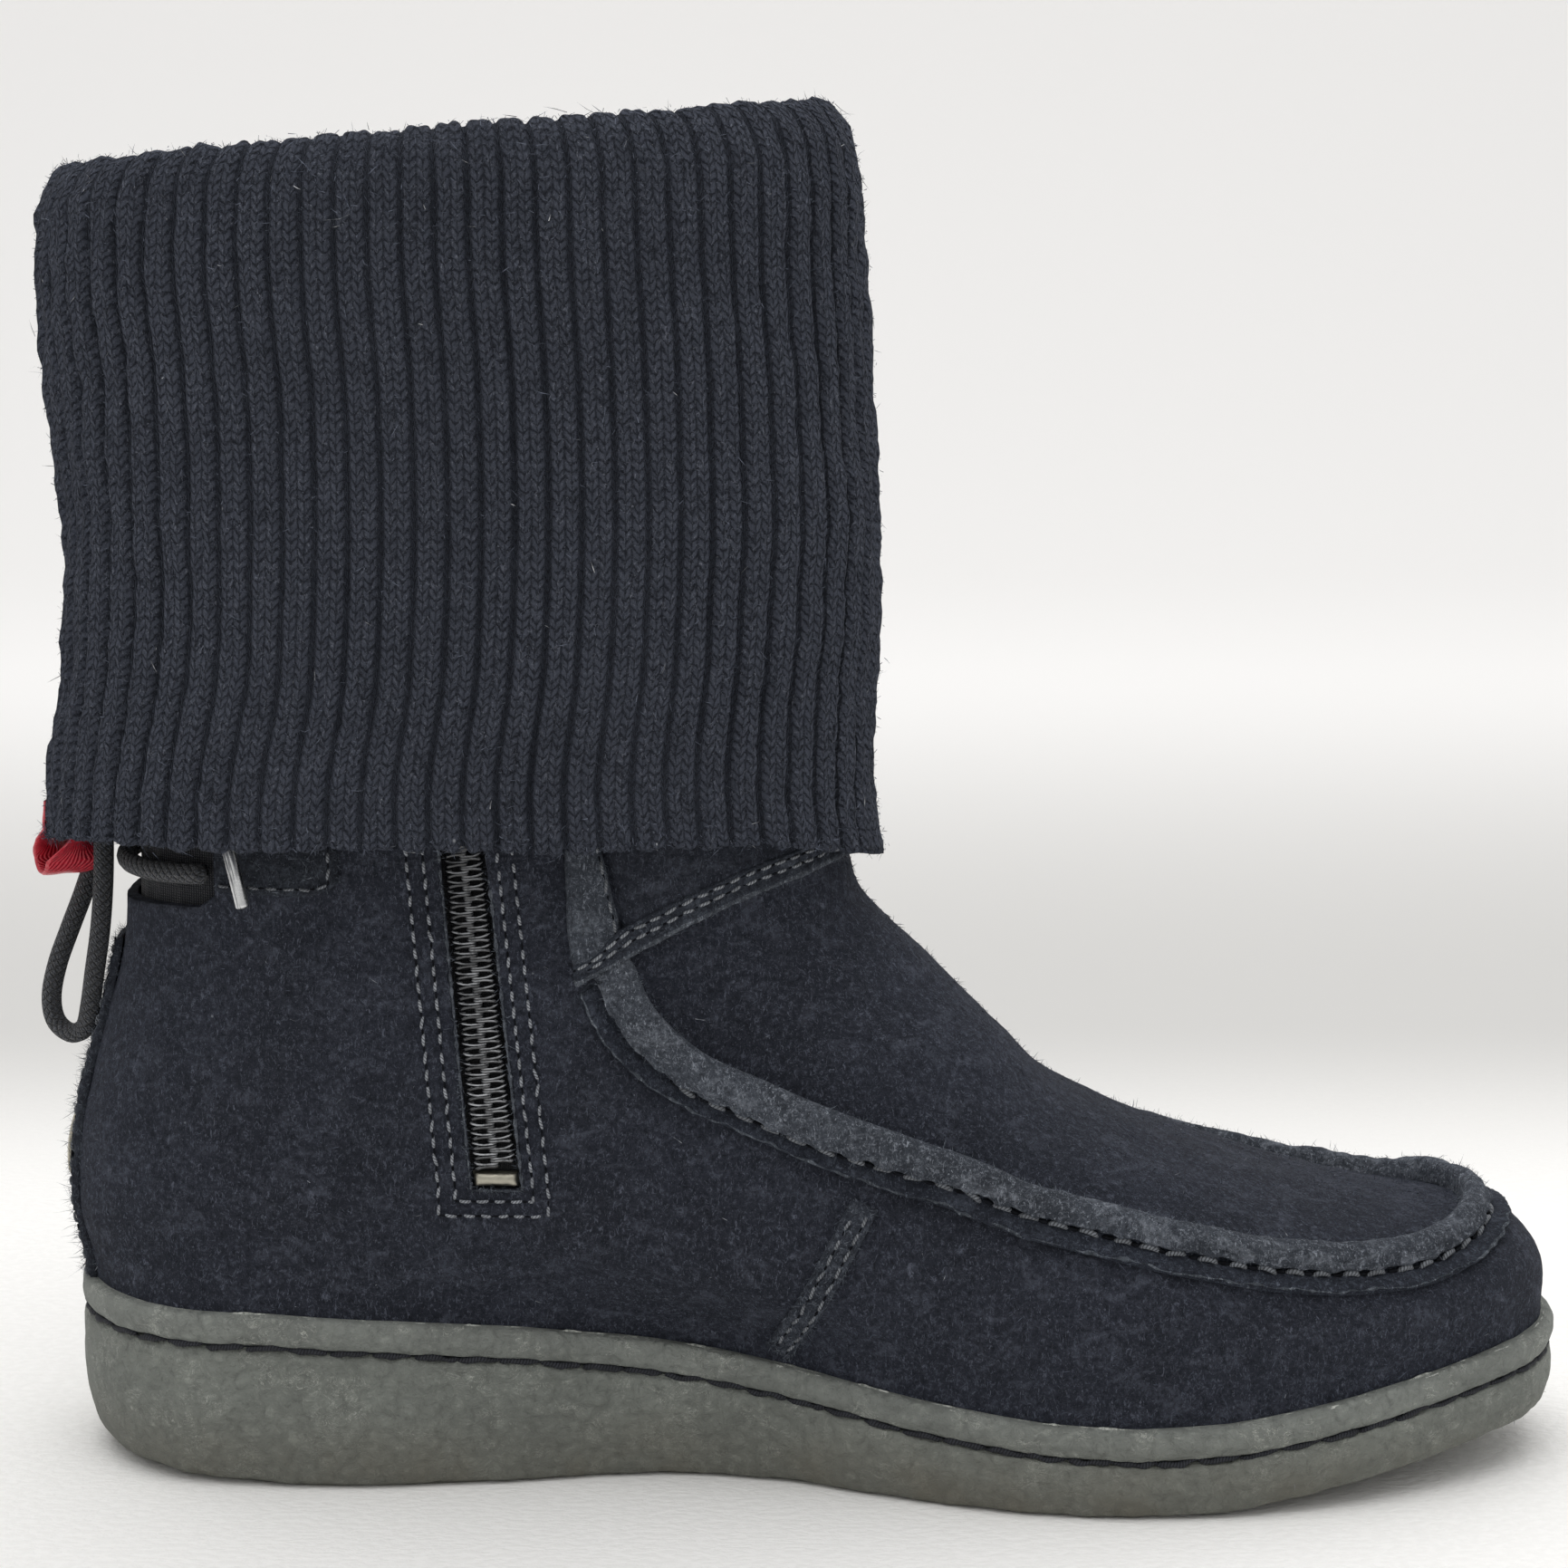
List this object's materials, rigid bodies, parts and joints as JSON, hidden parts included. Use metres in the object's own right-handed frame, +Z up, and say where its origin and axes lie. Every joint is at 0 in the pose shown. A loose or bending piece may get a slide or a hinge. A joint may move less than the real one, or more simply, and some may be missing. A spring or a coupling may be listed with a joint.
{
  "type": "ankle boot",
  "caption": "Left suede ankle boot on a wedge crepe sole, with a raised apron seam, a side zip, a folded rib-knit cuff and corded heel lacing.",
  "frame": {"origin": "middle of the boot's box on the floor, without the hanging cord", "axes": "+X from heel to toe, +Y to the lateral side, +Z up the shaft; the sole rests on z = 0"},
  "size_m": [0.2826, 0.0998, 0.247],
  "materials": {
    "crepe_rubber": "matt crepe rubber",
    "band_rubber": "matt rubber",
    "insole_cloth": "dark felt",
    "suede": "brushed suede nap",
    "brushed_suede": "worn suede edge",
    "knit": "ribbed wool knit",
    "gusset_knit": "fine elastic knit",
    "zip_tape": "woven tape",
    "zip_coil": "nylon coil",
    "zip_stop_metal": "dull pale metal",
    "slider_metal": "dark satin",
    "badge_metal": "bare satin plate",
    "black_cord": "braided cord",
    "tag_metal": "rolled metal tag",
    "red_ribbon": "satin ribbon"
  },
  "bodies": {
    "root": {"outsole": "crepe_rubber", "midsole": "band_rubber", "insole": "insole_cloth", "upper": "suede", "knit_cuff": "knit", "apron_seam": "brushed_suede", "throat_panel": "suede", "throat_strap_medial": "brushed_suede", "throat_strap_lateral": "brushed_suede", "side_lap_medial": "brushed_suede", "side_lap_lateral": "brushed_suede", "heel_strip": "suede", "heel_badge": "badge_metal", "heel_gusset": "gusset_knit", "lace_tab_medial": "suede", "lace_tab_lateral": "suede", "lace_bar": "black_cord", "red_tab": "red_ribbon", "zip_tape": "zip_tape", "zip_stop": "zip_stop_metal", "zip_coil": "zip_coil", "zip_slider": "slider_metal", "lace_loop": "black_cord", "lace_knot": "black_cord", "lace_end": "black_cord", "lace_tag": "tag_metal"}
  },
  "joints": []
}
